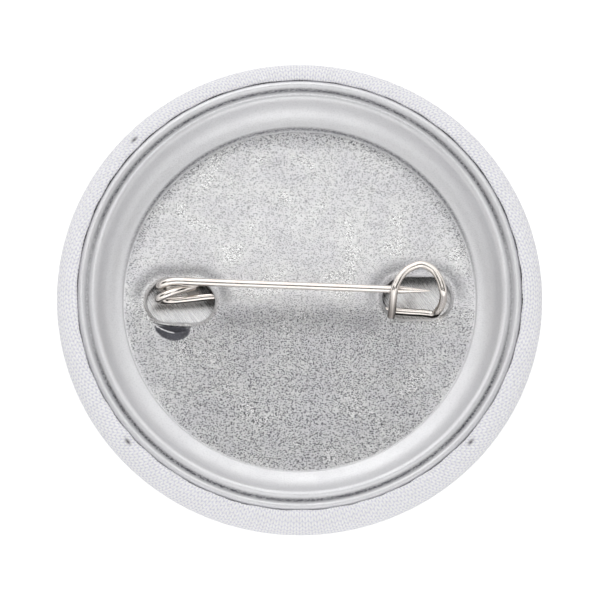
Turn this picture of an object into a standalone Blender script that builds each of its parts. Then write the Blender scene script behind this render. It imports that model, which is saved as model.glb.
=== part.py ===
"""Pin-back button badge with a knitted cover, lying face down with its pin side up.

The badge is 56 mm across. Z is up, X runs along the pin towards its point, and the origin is
where the middle of the domed face touches the surface it lies on. A thin steel front shell is
covered by a knitted fabric disc whose edge is folded over the shell's rim and trapped by the
rolled bead of the back plate. One piece of wire is the pin: a base run under the plate, a catch
loop that stands up through the right slot, and a coil in the left slot that ends in the needle.
"""

import math

import bmesh
import bpy
from mathutils import Vector

MM = 0.001
SEGMENTS = 60
TOUCH_GAP = 0.3 * MM

# Cover: outer surface of the knitted fabric, as radius and height.
COVER_RADIUS = 28.0 * MM
EQUATOR_HEIGHT = 4.3 * MM
FACE_FLAT_RADIUS = 7.0 * MM
FACE_EDGE_RADIUS = 24.6 * MM
FACE_RISE = 2.0 * MM
ROLL_TOP_RADIUS = 26.05 * MM
ROLL_TOP_HEIGHT = 7.05 * MM
TUCK_RADIUS = 25.75 * MM
TUCK_HEIGHT = 6.35 * MM
FABRIC_THICKNESS = 0.45 * MM

# Front shell: sheet steel under the fabric, its rim curled in above the equator.
SHEET_THICKNESS = 0.25 * MM

# Back plate: a sunk disc, a sloping ring, then a shoulder, a groove and the outer bead.
DISC_HEIGHT = 3.8 * MM
DISC_RADIUS = 20.2 * MM
DISC_STEP = 0.3 * MM
DISC_STEP_WIDTH = 0.3 * MM
SHOULDER_RADIUS = 23.8 * MM
SHOULDER_HEIGHT = 6.95 * MM
GROOVE_RADIUS = 24.45 * MM
GROOVE_HEIGHT = 6.5 * MM
BEAD_RADIUS = 25.05 * MM
BEAD_HEIGHT = 6.9 * MM
SKIRT_RADIUS = 25.45 * MM
SKIRT_HEIGHT = 5.3 * MM

# Oval slots in the disc, and the crescent lance beside the left one.
SLOT_LENGTH = 7.8 * MM
SLOT_WIDTH = 4.94 * MM
LEFT_SLOT = (-13.65 * MM, -0.05 * MM)
RIGHT_SLOT = (13.48 * MM, 0.43 * MM)
LANCE_CENTRE = (-14.55 * MM, -1.2 * MM)
LANCE_RADIUS = 2.75 * MM
LANCE_DEPTH = 0.8 * MM

# Pin wire. Heights are measured from the top of the disc.
WIRE_RADIUS = 0.45 * MM
NEEDLE_TAPER_START = 11.8 * MM
TIP_SHARPNESS = 0.14

# Routes of the wire, as X, Y and height over the disc in millimetres: base run and catch from
# the coil to the cut end, then the coil from the base run to the hinge, then the needle.
BASE_ROUTE = (
    (-12.0, 0.56, -1.0),
    (-9.9, 0.76, -1.0),
    (-7.5, 0.66, -1.0),
    (0.0, 0.0, -1.0),
    (11.2, -0.98, -1.0),
    (14.3, -1.2, -1.0),
)
CATCH_ROUTE = (
    (15.48, -1.36, -0.9),
    (16.0, -1.05, -0.12),
    (16.36, -0.71, 0.77),
    (16.55, -0.13, 1.75),
    (16.52, 0.44, 2.49),
    (16.29, 1.33, 2.67),
    (15.94, 2.16, 2.75),
    (15.4, 2.91, 2.82),
    (14.63, 3.41, 2.86),
    (13.88, 3.57, 2.87),
    (12.99, 3.28, 2.85),
    (12.28, 2.86, 2.82),
    (11.55, 2.08, 2.75),
    (11.13, 1.29, 2.68),
    (10.89, 0.65, 2.59),
    (10.78, -0.19, 1.98),
    (10.7, -0.89, 1.42),
    (10.62, -1.59, 0.87),
    (10.53, -2.07, 0.5),
)
COIL_ROUTE = (
    (-14.0, 0.33, -1.0),
    (-15.3, 0.22, -0.85),
    (-16.1, 0.17, -0.3),
    (-16.15, 0.25, 0.25),
    (-15.5, 0.5, 0.68),
    (-14.5, 0.88, 0.72),
    (-13.4, 1.3, 0.4),
    (-12.4, 1.7, -0.25),
    (-11.75, 2.05, -0.9),
    (-11.5, 2.3, -1.35),
    (-11.9, 2.35, -1.68),
    (-13.0, 2.2, -1.7),
    (-14.6, 1.95, -1.4),
    (-15.7, 1.7, -0.75),
    (-16.1, 1.6, -0.05),
)
NEEDLE_ROUTE = (
    (-16.1, 1.6, 0.25),
    (-15.9, 1.68, 0.75),
    (-15.3, 1.88, 1.12),
    (-14.2, 2.03, 1.2),
    (-12.0, 1.94, 1.21),
)
NEEDLE_TIP = (15.0, 0.82, 1.35)
HINGE = (-16.1, 1.6, 0.1)
ROUTE_STEPS = 3


def clear_scene() -> None:
    """Remove every object that the file opened with."""
    for obj in list(bpy.data.objects):
        bpy.data.objects.remove(obj, do_unlink=True)


def new_collection(name, hidden=False):
    """Make a collection in the scene, left out of renders when it holds cutters."""
    collection = bpy.data.collections.new(name)
    collection.hide_render = hidden
    bpy.context.scene.collection.children.link(collection)
    return collection


def principled(name, colour, roughness, metallic):
    """Make a plain Principled material."""
    material = bpy.data.materials.new(name)
    material.use_nodes = True
    shader = material.node_tree.nodes["Principled BSDF"]
    shader.inputs["Base Color"].default_value = (*colour, 1.0)
    shader.inputs["Roughness"].default_value = roughness
    shader.inputs["Metallic"].default_value = metallic
    return material


def bezier(start, pull, push, end, steps):
    """Points along a cubic curve, without its first point."""
    corners = [Vector(point) for point in (start, pull, push, end)]
    found = []
    for step in range(1, steps + 1):
        t = step / steps
        weights = ((1 - t) ** 3, 3 * t * (1 - t) ** 2, 3 * t * t * (1 - t), t**3)
        point = sum((w * c for w, c in zip(weights, corners)), Vector((0.0, 0.0)))
        found.append(tuple(point))
    return found


def wave(start, end, steps):
    """Points from one crest or trough to the next along half a cosine, without the first."""
    found = []
    for step in range(1, steps + 1):
        t = step / steps
        rise = (1 - math.cos(math.pi * t)) / 2
        found.append((start[0] + (end[0] - start[0]) * t, start[1] + (end[1] - start[1]) * rise))
    return found


def cover_outline():
    """Outer profile of the cover, from its tucked edge over the roll and down to the face."""
    tuck = (TUCK_RADIUS, TUCK_HEIGHT)
    roll_top = (ROLL_TOP_RADIUS, ROLL_TOP_HEIGHT)
    equator = (COVER_RADIUS, EQUATOR_HEIGHT)
    face_edge = (FACE_EDGE_RADIUS, FACE_RISE)
    sphere = (FACE_EDGE_RADIUS**2 - FACE_FLAT_RADIUS**2) / (2 * FACE_RISE)
    outline = [tuck]
    outline += bezier(tuck, (TUCK_RADIUS, 6.8 * MM), (25.8 * MM, ROLL_TOP_HEIGHT), roll_top, 3)
    outline += bezier(roll_top, (27.1 * MM, ROLL_TOP_HEIGHT), (COVER_RADIUS, 5.8 * MM), equator, 5)
    outline += bezier(equator, (COVER_RADIUS, 3.0 * MM), (26.7 * MM, 2.37 * MM), face_edge, 4)
    steps = 4
    for step in range(1, steps + 1):
        radius = FACE_EDGE_RADIUS + (FACE_FLAT_RADIUS - FACE_EDGE_RADIUS) * step / steps
        outline.append((radius, (radius**2 - FACE_FLAT_RADIUS**2) / (2 * sphere)))
    outline.append((0.0, 0.0))
    return outline


def inset(outline, distance):
    """Move an outline inwards, square to itself, and keep its last point on the axis."""
    moved = []
    for index, point in enumerate(outline):
        before = outline[max(index - 1, 0)]
        after = outline[min(index + 1, len(outline) - 1)]
        along = (Vector(after) - Vector(before)).normalized()
        moved.append((point[0] + along.y * distance, point[1] - along.x * distance))
    moved[-1] = (0.0, outline[-1][1] + distance)
    return moved


def plate_outline():
    """Upper profile of the back plate, from the middle of the disc to the foot of the skirt."""
    disc_edge = (DISC_RADIUS, DISC_HEIGHT)
    ring_foot = (DISC_RADIUS + DISC_STEP_WIDTH, DISC_HEIGHT + DISC_STEP)
    shoulder = (SHOULDER_RADIUS, SHOULDER_HEIGHT)
    groove = (GROOVE_RADIUS, GROOVE_HEIGHT)
    bead = (BEAD_RADIUS, BEAD_HEIGHT)
    skirt_top = (SKIRT_RADIUS, BEAD_HEIGHT - (SKIRT_RADIUS - BEAD_RADIUS))
    outline = [(0.0, DISC_HEIGHT), disc_edge]
    outline += wave(disc_edge, ring_foot, 2)
    outline += bezier(ring_foot, (23.3 * MM, 4.5 * MM), (22.75 * MM, 6.95 * MM), shoulder, 6)
    outline += wave(shoulder, groove, 2)
    outline += wave(groove, bead, 2)
    outline += bezier(bead, (25.25 * MM, 6.9 * MM), (25.45 * MM, 6.7 * MM), skirt_top, 2)
    outline.append((SKIRT_RADIUS, SKIRT_HEIGHT))
    return outline


def add_modifier(obj, name, kind, **settings):
    """Add a modifier and set its values."""
    modifier = obj.modifiers.new(name, kind)
    for key, value in settings.items():
        setattr(modifier, key, value)
    return modifier


def mesh_from_bmesh(name, shape, collection):
    """Turn a bmesh into an object in a collection."""
    mesh = bpy.data.meshes.new(name)
    shape.to_mesh(mesh)
    shape.free()
    obj = bpy.data.objects.new(name, mesh)
    collection.objects.link(obj)
    return obj


def turned_sheet(name, outline, thickness, material, collection):
    """Turn a profile about Z into a sheet whose thickness lies inside the profile."""
    shape = bmesh.new()
    corners = [shape.verts.new((radius, 0.0, height)) for radius, height in outline]
    for first, second in zip(corners, corners[1:]):
        shape.edges.new((first, second))
    obj = mesh_from_bmesh(name, shape, collection)
    add_modifier(
        obj,
        "turn",
        "SCREW",
        steps=SEGMENTS,
        render_steps=SEGMENTS,
        axis="Z",
        use_merge_vertices=True,
        merge_threshold=0.00001,
        use_smooth_shade=True,
    )
    add_modifier(obj, "sheet", "SOLIDIFY", thickness=thickness, offset=-1.0)
    obj.data.materials.append(material)
    return obj


def make_fabric_cover(collection):
    """Knitted disc folded round the shell, tucked in beside the bead."""
    material = principled("white_knit", (0.86, 0.86, 0.89), 0.9, 0.0)
    return turned_sheet("fabric_cover", cover_outline(), FABRIC_THICKNESS, material, collection)


def make_front_shell(collection):
    """Domed steel shell under the fabric, with its rim curled in."""
    material = principled("brushed_tinplate", (0.62, 0.62, 0.62), 0.38, 1.0)
    wrapped = inset(cover_outline(), FABRIC_THICKNESS + TOUCH_GAP)
    outline = wrapped[5:]
    return turned_sheet("front_shell", outline, SHEET_THICKNESS, material, collection)


def slot_cutter(name, centre, cutters):
    """Oval block that is longer than the sheet is thick."""
    end_radius = SLOT_WIDTH / 2
    reach = SLOT_LENGTH / 2 - end_radius
    ends_steps = 16
    shape = bmesh.new()
    rim = []
    for side, turn in ((1, -math.pi / 2), (-1, math.pi / 2)):
        for step in range(ends_steps + 1):
            angle = turn + math.pi * step / ends_steps
            x = centre[0] + side * reach + end_radius * math.cos(angle)
            y = centre[1] + end_radius * math.sin(angle)
            rim.append(shape.verts.new((x, y, DISC_HEIGHT - 1.0 * MM)))
    face = shape.faces.new(rim)
    raised = bmesh.ops.extrude_face_region(shape, geom=[face])
    top = [item for item in raised["geom"] if isinstance(item, bmesh.types.BMVert)]
    bmesh.ops.translate(shape, verts=top, vec=(0.0, 0.0, 2.0 * MM))
    bmesh.ops.recalc_face_normals(shape, faces=shape.faces)
    return as_cutter(mesh_from_bmesh(name, shape, cutters))


def lance_cutter(cutters):
    """Crescent block between two arcs that meet at their ends."""
    steps = 14
    reach = math.radians(56)
    shape = bmesh.new()
    rim = []
    for step in range(steps + 1):
        angle = -math.pi / 2 - reach + 2 * reach * step / steps
        rim.append((LANCE_RADIUS * math.cos(angle), LANCE_RADIUS * math.sin(angle)))
    for step in range(1, steps):
        x, y = rim[steps - step]
        depth = LANCE_DEPTH * math.cos(math.pi / 2 * x / rim[0][0])
        rim.append((x, y + depth))
    corners = [
        shape.verts.new((LANCE_CENTRE[0] + x, LANCE_CENTRE[1] + y, DISC_HEIGHT - 1.0 * MM))
        for x, y in rim
    ]
    face = shape.faces.new(corners)
    raised = bmesh.ops.extrude_face_region(shape, geom=[face])
    top = [item for item in raised["geom"] if isinstance(item, bmesh.types.BMVert)]
    bmesh.ops.translate(shape, verts=top, vec=(0.0, 0.0, 2.0 * MM))
    bmesh.ops.recalc_face_normals(shape, faces=shape.faces)
    return as_cutter(mesh_from_bmesh("lance_cutter", shape, cutters))


def as_cutter(obj):
    """Keep a cutter out of renders and draw it as wire."""
    obj.hide_render = True
    obj.display_type = "WIRE"
    return obj


def make_back_plate(collection, cutters):
    """Pressed steel plate with its rolled rim, two oval slots and a crescent lance."""
    material = principled("orange_peel_tinplate", (0.66, 0.66, 0.67), 0.4, 1.0)
    plate = turned_sheet("back_plate", plate_outline(), SHEET_THICKNESS, material, collection)
    blocks = (
        slot_cutter("left_slot_cutter", LEFT_SLOT, cutters),
        slot_cutter("right_slot_cutter", RIGHT_SLOT, cutters),
        lance_cutter(cutters),
    )
    for block in blocks:
        add_modifier(plate, block.name, "BOOLEAN", operation="DIFFERENCE", object=block)
    return plate


def smooth_route(points, steps):
    """Points on a smooth curve that passes through every given point."""
    ends = [2 * points[0] - points[1], *points, 2 * points[-1] - points[-2]]
    found = [points[0]]
    for before, first, second, after in zip(ends, ends[1:], ends[2:], ends[3:]):
        for step in range(1, steps + 1):
            t = step / steps
            found.append(
                0.5
                * (
                    2 * first
                    + (second - before) * t
                    + (2 * before - 5 * first + 4 * second - after) * t**2
                    + (3 * first - before - 3 * second + after) * t**3
                )
            )
    return found


def on_plate(place):
    """Turn a place given in millimetres over the disc into a point."""
    x, y, z = place
    return Vector((x * MM, y * MM, DISC_HEIGHT + z * MM))


def route_points(places):
    """Points on a smooth curve through places over the disc."""
    return smooth_route([on_plate(place) for place in places], ROUTE_STEPS)


def wire(name, points, material, collection, taper=None, origin=None):
    """Round wire along points, with closed ends and an origin of its own."""
    origin = origin or Vector((0.0, 0.0, 0.0))
    curve = bpy.data.curves.new(name, "CURVE")
    curve.dimensions = "3D"
    curve.bevel_depth = WIRE_RADIUS
    curve.bevel_resolution = 2
    curve.use_fill_caps = True
    spline = curve.splines.new("POLY")
    spline.points.add(len(points) - 1)
    for index, point in enumerate(points):
        spline.points[index].co = (*(point - origin), 1.0)
        spline.points[index].radius = taper[index] if taper else 1.0
    spline.use_smooth = True
    obj = bpy.data.objects.new(name, curve)
    obj.location = origin
    obj.data.materials.append(material)
    collection.objects.link(obj)
    return obj


def make_pin_coil(collection, material):
    """Coil of the pin in the left slot."""
    return wire("pin_coil", route_points(COIL_ROUTE), material, collection)


def make_pin_base(collection, material):
    """Base run under the plate, sharply bent up into the catch loop."""
    x, y, z = COIL_ROUTE[0]
    start = (x + TOUCH_GAP / MM, y, z)
    points = route_points((start, *BASE_ROUTE, *CATCH_ROUTE))
    return wire("pin_base", points, material, collection)


def make_pin_needle(collection, material):
    """Needle that rises from the coil, runs straight and tapers to its point."""
    points = route_points(NEEDLE_ROUTE)
    taper = [1.0] * len(points)
    start, tip = points[-1], on_plate(NEEDLE_TIP)
    reach = (NEEDLE_TAPER_START - start.x) / (tip.x - start.x)
    for share, width in (
        (reach / 2, 1.0),
        (reach, 1.0),
        ((1 + reach) / 2, (1 + TIP_SHARPNESS) / 2),
        (1.0, TIP_SHARPNESS),
    ):
        points.append(start.lerp(tip, share))
        taper.append(width)
    return wire("pin_needle", points, material, collection, taper, on_plate(HINGE))


def main():
    """Build the badge."""
    clear_scene()
    badge = new_collection("button_badge")
    cutters = new_collection("button_badge_cutters", hidden=True)
    nickel = principled("nickel_wire", (0.78, 0.75, 0.7), 0.18, 1.0)
    make_fabric_cover(badge)
    make_front_shell(badge)
    make_back_plate(badge, cutters)
    make_pin_coil(badge, nickel)
    make_pin_base(badge, nickel)
    make_pin_needle(badge, nickel)


main()
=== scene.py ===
"""Looks of the button badge: knitted cover, pressed plate, brushed shell and nickel pin wire.

The badge lies face down with its pin side up. Every length is in metres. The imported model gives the
outer sizes and the needle's hinge; each class below builds one sub-assembly around them.
"""

import logging
import math
from dataclasses import dataclass, field
from enum import Enum

import bpy
import numpy as np
from mathutils import Euler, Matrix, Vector
from mathutils.geometry import delaunay_2d_cdt


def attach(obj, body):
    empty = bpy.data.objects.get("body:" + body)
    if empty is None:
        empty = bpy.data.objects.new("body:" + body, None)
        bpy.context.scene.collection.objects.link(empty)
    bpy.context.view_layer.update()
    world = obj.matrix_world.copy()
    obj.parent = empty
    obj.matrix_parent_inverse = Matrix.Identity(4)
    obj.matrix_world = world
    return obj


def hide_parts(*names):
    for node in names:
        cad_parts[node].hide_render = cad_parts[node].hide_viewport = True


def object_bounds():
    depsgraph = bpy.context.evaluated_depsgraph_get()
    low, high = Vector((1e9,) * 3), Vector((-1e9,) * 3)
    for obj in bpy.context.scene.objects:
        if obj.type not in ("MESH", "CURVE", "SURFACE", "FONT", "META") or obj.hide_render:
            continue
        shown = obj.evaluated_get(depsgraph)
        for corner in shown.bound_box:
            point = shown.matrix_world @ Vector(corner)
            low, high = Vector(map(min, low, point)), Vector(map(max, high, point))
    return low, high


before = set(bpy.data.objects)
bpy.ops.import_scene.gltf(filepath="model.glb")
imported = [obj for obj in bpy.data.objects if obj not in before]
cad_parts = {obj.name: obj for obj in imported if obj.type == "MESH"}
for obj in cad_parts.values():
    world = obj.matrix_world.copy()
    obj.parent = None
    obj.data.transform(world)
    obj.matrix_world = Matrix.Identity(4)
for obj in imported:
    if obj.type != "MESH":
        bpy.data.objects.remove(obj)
CAD_LOW, CAD_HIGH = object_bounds()

MM = 0.001
LOG = logging.getLogger("badge")
DISC_TOP = 3.8 * MM
Point2 = tuple[float, float]
Point3 = tuple[float, float, float]
Colour = tuple[float, float, float]


class Body(Enum):
    """The two bodies that pieces ride on."""

    BADGE = "badge"
    NEEDLE = "needle"


# ---------------------------------------------------------------- outlines and meshes


def smoothstep(low: float, high: float, value: np.ndarray) -> np.ndarray:
    """Rise smoothly from 0 at low to 1 at high."""
    share = np.clip((np.asarray(value, float) - low) / (high - low), 0.0, 1.0)
    return share * share * (3.0 - 2.0 * share)


def travelled(points: np.ndarray) -> np.ndarray:
    """Distance covered at each point of a line."""
    return np.concatenate([[0.0], np.cumsum(np.linalg.norm(np.diff(points, axis=0), axis=1))])


def read_at(places: np.ndarray, along: np.ndarray, points: np.ndarray) -> np.ndarray:
    """An outline read at given distances along it."""
    return np.stack([np.interp(places, along, points[:, k]) for k in (0, 1)], axis=1)


def unit_rows(vectors: np.ndarray) -> np.ndarray:
    """The same directions, each row of length one."""
    return vectors / np.linalg.norm(vectors, axis=1, keepdims=True)


def half_turns(angle: np.ndarray) -> np.ndarray:
    """The same angles, between minus and plus half a turn."""
    return np.mod(angle + np.pi, 2.0 * np.pi) - np.pi


def closed_pairs(start: int, count: int) -> list[tuple[int, int]]:
    """Neighbouring numbers round a closed run."""
    return [(start + i, start + (i + 1) % count) for i in range(count)]


def facing(direction: Point3 | Vector) -> Euler:
    """The turn that points an object's Z axis along a direction."""
    return Vector(direction).to_track_quat("Z", "Y").to_euler()


def bezier(start: Point2, pull: Point2, push: Point2, end: Point2, steps: int) -> list[Point2]:
    """Points along a cubic curve.

    Args:
        start: first corner.
        pull: handle of the first corner.
        push: handle of the last corner.
        end: last corner.
        steps: how many points follow the first one.

    Returns:
        The points without the first one.
    """
    corners = np.array([start, pull, push, end])
    found = []
    for t in np.linspace(0.0, 1.0, steps + 1)[1:]:
        weights = np.array([(1 - t) ** 3, 3 * t * (1 - t) ** 2, 3 * t * t * (1 - t), t**3])
        found.append(tuple(weights @ corners))
    return found


def wave(start: Point2, end: Point2, steps: int) -> list[Point2]:
    """Points along half a cosine from a crest to a trough or back.

    Args:
        start: crest or trough to leave.
        end: trough or crest to reach.
        steps: how many points follow the first one.

    Returns:
        The points without the first one.
    """
    shares = np.linspace(0.0, 1.0, steps + 1)[1:]
    rises = (1.0 - np.cos(np.pi * shares)) / 2.0
    return [
        (start[0] + (end[0] - start[0]) * t, start[1] + (end[1] - start[1]) * r)
        for t, r in zip(shares, rises)
    ]


def respaced(outline: list[Point2], step: float) -> np.ndarray:
    """Read an outline again at even steps.

    Args:
        outline: points of the outline.
        step: distance between the new points.

    Returns:
        The new points, first and last kept.
    """
    points = np.array(outline)
    along = travelled(points)
    return read_at(np.linspace(0.0, along[-1], max(2, round(along[-1] / step) + 1)), along, points)


def inset(points: np.ndarray, distance: float) -> np.ndarray:
    """Move an outline towards its inner side, square to itself.

    Args:
        points: outline that runs down its outer side.
        distance: how far to move it.

    Returns:
        The moved outline, its last point still on the axis.
    """
    along = unit_rows(np.gradient(points, axis=0))
    moved = points + distance * np.stack([along[:, 1], -along[:, 0]], axis=1)
    moved[-1] = (0.0, points[-1][1] + distance)
    return moved


@dataclass
class Rings:
    """A surface of rings about Z that is put together one ring at a time."""

    places: list[np.ndarray] = field(default_factory=list)
    faces: list[tuple[int, ...]] = field(default_factory=list)
    counts: list[int] = field(default_factory=list)
    starts: list[int] = field(default_factory=list)

    def total(self) -> int:
        """Number of points so far."""
        return sum(self.counts)

    def add(self, ring: np.ndarray) -> None:
        """Add a ring and join it to the last one.

        Args:
            ring: its points in order; one point closes the surface.
        """
        start, count = self.total(), len(ring)
        if self.counts:
            self._join(self.starts[-1], self.counts[-1], start, count)
        self.places.append(ring)
        self.counts.append(count)
        self.starts.append(start)

    def _join(self, first: int, many: int, second: int, few: int) -> None:
        """Join two rings of equal count, or of counts two to one, or a ring and a point.

        Args:
            first: number of the first ring's first point.
            many: how many points it has.
            second: number of the second ring's first point.
            few: how many points that one has.
        """
        if few == 1:
            self.faces += [(first + i, second, first + (i + 1) % many) for i in range(many)]
            return
        if many == 1:
            self.faces += [(second + i, second + (i + 1) % few, first) for i in range(few)]
            return
        if many == few:
            near, far = closed_pairs(first, many), closed_pairs(second, many)
            self.faces += [(a, c, d, b) for (a, b), (c, d) in zip(near, far)]
            return
        if many == 2 * few:
            for i in range(few):
                j, mid, after = (i + 1) % few, 2 * i + 1, (2 * i + 2) % many
                self.faces.append((first + 2 * i, second + i, first + mid))
                self.faces.append((first + mid, second + i, second + j))
                self.faces.append((first + mid, second + j, first + after))
            return
        for i in range(many):
            j, mid, after = (i + 1) % many, 2 * i + 1, (2 * i + 2) % few
            self.faces.append((first + i, second + 2 * i, second + mid))
            self.faces.append((first + i, second + mid, first + j))
            self.faces.append((first + j, second + mid, second + after))

    def mesh_data(self) -> tuple[np.ndarray, list[tuple[int, ...]]]:
        """All points and faces."""
        return np.concatenate(self.places), self.faces


def circle(radius: float, height: float, count: int) -> np.ndarray:
    """Points round a level circle about Z.

    Args:
        radius: its radius.
        height: its height.
        count: how many points.

    Returns:
        The points, anticlockwise from +X.
    """
    if radius <= 0.0:
        return np.array([[0.0, 0.0, height]])
    angle = np.linspace(0.0, 2.0 * np.pi, count, endpoint=False)
    return np.stack([radius * np.cos(angle), radius * np.sin(angle), np.full(count, height)], axis=1)


def new_piece(
    name: str, points: np.ndarray, faces: list, material: bpy.types.Material
) -> bpy.types.Object:
    """Make a smooth-shaded mesh object.

    Args:
        name: its name.
        points: its corners.
        faces: corner numbers of each face.
        material: its finish.

    Returns:
        The object, linked to the scene.
    """
    mesh = bpy.data.meshes.new(name)
    mesh.from_pydata(np.asarray(points).tolist(), [], faces)
    mesh.update()
    mesh.shade_smooth()
    mesh.materials.append(material)
    piece = bpy.data.objects.new(name, mesh)
    bpy.context.scene.collection.objects.link(piece)
    return piece


def rectangle(name: str, width: float, depth: float, material: bpy.types.Material) -> bpy.types.Object:
    """Make a flat rectangle about the origin.

    Args:
        name: its name.
        width: its size along X.
        depth: its size along Y.
        material: its finish.

    Returns:
        The object, linked to the scene.
    """
    across, up = width / 2.0, depth / 2.0
    corners = np.array([(-across, -up, 0.0), (across, -up, 0.0), (across, up, 0.0), (-across, up, 0.0)])
    return new_piece(name, corners, [(0, 1, 2, 3)], material)


def store_places(piece: bpy.types.Object, name: str, values: np.ndarray) -> None:
    """Keep a vector for each corner of a mesh."""
    attribute = piece.data.attributes.new(name, "FLOAT_VECTOR", "POINT")
    attribute.data.foreach_set("vector", np.asarray(values, np.float32).ravel())


def store_numbers(piece: bpy.types.Object, name: str, values: np.ndarray) -> None:
    """Keep a number for each corner of a mesh."""
    attribute = piece.data.attributes.new(name, "FLOAT", "POINT")
    attribute.data.foreach_set("value", np.asarray(values, np.float32))


def report(piece: bpy.types.Object) -> None:
    """Log what a finished piece is made of."""
    LOG.info("%s: %d points, %d faces", piece.name, len(piece.data.vertices), len(piece.data.polygons))


# ---------------------------------------------------------------- shader groups and finishes


class GroupBuilder:
    """Builds one shader node group with named sockets."""

    def __init__(self, name: str) -> None:
        """Start an empty group.

        Args:
            name: the group's name.
        """
        self.tree = bpy.data.node_groups.new(name, "ShaderNodeTree")
        self.inside = self.tree.nodes.new("NodeGroupInput")
        self.outside = self.tree.nodes.new("NodeGroupOutput")

    def takes(self, name: str, kind: str = "NodeSocketFloat") -> bpy.types.NodeSocket:
        """Add a named input and return its inner side."""
        self.tree.interface.new_socket(name=name, in_out="INPUT", socket_type=kind)
        return self.inside.outputs[name]

    def gives(self, name: str, source: bpy.types.NodeSocket) -> None:
        """Add a named output and feed it."""
        self.tree.interface.new_socket(name=name, in_out="OUTPUT", socket_type="NodeSocketFloat")
        self.link(source, self.outside.inputs[name])

    def node(self, kind: str, **settings: object) -> bpy.types.Node:
        """Add a node and set its properties."""
        return add_node(self.tree, kind, **settings)

    def math(self, operation: str, *values: object) -> bpy.types.NodeSocket:
        """Add a Math node and return its output."""
        return add_math(self.tree, operation, *values)

    def link(self, source: bpy.types.NodeSocket, target: bpy.types.NodeSocket) -> None:
        """Join two sockets."""
        self.tree.links.new(source, target)


def add_node(tree: bpy.types.NodeTree, kind: str, **settings: object) -> bpy.types.Node:
    """Add a node to a tree and set its properties.

    Args:
        tree: where it goes.
        kind: its type without the ShaderNode prefix.
        settings: properties to set.

    Returns:
        The node.
    """
    node = tree.nodes.new("ShaderNode" + kind)
    for key, value in settings.items():
        setattr(node, key, value)
    return node


def add_math(tree: bpy.types.NodeTree, operation: str, *values: object) -> bpy.types.NodeSocket:
    """Add a Math node fed by sockets or numbers.

    Args:
        tree: where it goes.
        operation: what it works out.
        values: sockets or numbers, one for each input.

    Returns:
        Its output.
    """
    node = add_node(tree, "Math", operation=operation)
    for socket, value in zip(node.inputs, values):
        if isinstance(value, bpy.types.NodeSocket):
            tree.links.new(value, socket)
        else:
            socket.default_value = value
    return node.outputs[0]


def pebble_group() -> bpy.types.NodeTree:
    """Height of a pebbled, orange-peel skin.

    Returns:
        A group that takes Vector and Size and gives Height.
    """
    build = GroupBuilder("pebble_skin")
    vector = build.takes("Vector", "NodeSocketVector")
    density = build.math("DIVIDE", 1.0, build.takes("Size"))
    cells = build.node("TexVoronoi", feature="SMOOTH_F1")
    cells.inputs["Smoothness"].default_value = 0.6
    build.link(vector, cells.inputs["Vector"])
    build.link(density, cells.inputs["Scale"])
    grain = build.node("TexNoise")
    grain.inputs["Detail"].default_value = 2.0
    grain.inputs["Roughness"].default_value = 0.55
    build.link(vector, grain.inputs["Vector"])
    build.link(build.math("MULTIPLY", density, 1.25), grain.inputs["Scale"])
    part = build.math("MULTIPLY", cells.outputs["Distance"], 0.55)
    build.gives("Height", build.math("ADD", part, grain.outputs["Fac"]))
    return build.tree


def drawn_lines_group() -> bpy.types.NodeTree:
    """Fine parallel lines left by rolling, drawing or brushing.

    Returns:
        A group that takes Vector, already turned and stretched, and Scale and gives Lines.
    """
    build = GroupBuilder("drawn_lines")
    fine = build.node("TexNoise")
    fine.inputs["Detail"].default_value = 4.0
    fine.inputs["Roughness"].default_value = 0.7
    build.link(build.takes("Vector", "NodeSocketVector"), fine.inputs["Vector"])
    build.link(build.takes("Scale"), fine.inputs["Scale"])
    build.gives("Lines", fine.outputs["Fac"])
    return build.tree


def cloud_group() -> bpy.types.NodeTree:
    """Soft uneven patches, for stains and handling marks.

    Returns:
        A group that takes Vector and Size and gives Patches from 0 to 1.
    """
    build = GroupBuilder("soft_patches")
    noise = build.node("TexNoise")
    noise.inputs["Detail"].default_value = 2.5
    build.link(build.takes("Vector", "NodeSocketVector"), noise.inputs["Vector"])
    build.link(build.math("DIVIDE", 1.0, build.takes("Size")), noise.inputs["Scale"])
    spread = build.node("MapRange", interpolation_type="SMOOTHSTEP")
    spread.inputs["From Min"].default_value = 0.35
    spread.inputs["From Max"].default_value = 0.65
    build.link(noise.outputs["Fac"], spread.inputs["Value"])
    build.gives("Patches", spread.outputs["Result"])
    return build.tree


def stitch_group() -> bpy.types.NodeTree:
    """Height of a jersey knit, columns of V-shaped stitches.

    Returns:
        A group that takes Vector in the flat cloth, Column and Row and gives Height from 0 to 1.
    """
    build = GroupBuilder("jersey_stitches")
    split = build.node("SeparateXYZ")
    build.link(build.takes("Vector", "NodeSocketVector"), split.inputs[0])
    column = build.math("DIVIDE", split.outputs["X"], build.takes("Column"))
    row = build.math("DIVIDE", split.outputs["Y"], build.takes("Row"))
    doubled = build.math("MULTIPLY", build.math("FRACT", column), 2.0)
    across = build.math("ABSOLUTE", build.math("SUBTRACT", doubled, 1.0))
    slanted = build.math("SUBTRACT", row, build.math("MULTIPLY", across, 0.62))
    turn = build.math("MULTIPLY", slanted, 2.0 * math.pi)
    along = build.math("MULTIPLY_ADD", build.math("COSINE", turn), 0.5, 0.5)
    leg = build.math("SINE", build.math("MULTIPLY", across, math.pi))
    leg = build.math("POWER", build.math("ABSOLUTE", leg), 0.6)
    build.gives("Height", build.math("MULTIPLY", leg, build.math("MULTIPLY_ADD", along, 0.75, 0.25)))
    return build.tree


@dataclass(frozen=True)
class Groups:
    """The shader groups that the finishes share."""

    pebbles: bpy.types.NodeTree
    lines: bpy.types.NodeTree
    patches: bpy.types.NodeTree
    stitches: bpy.types.NodeTree

    @classmethod
    def build(cls) -> "Groups":
        """Build each group once."""
        return cls(pebble_group(), drawn_lines_group(), cloud_group(), stitch_group())


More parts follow.
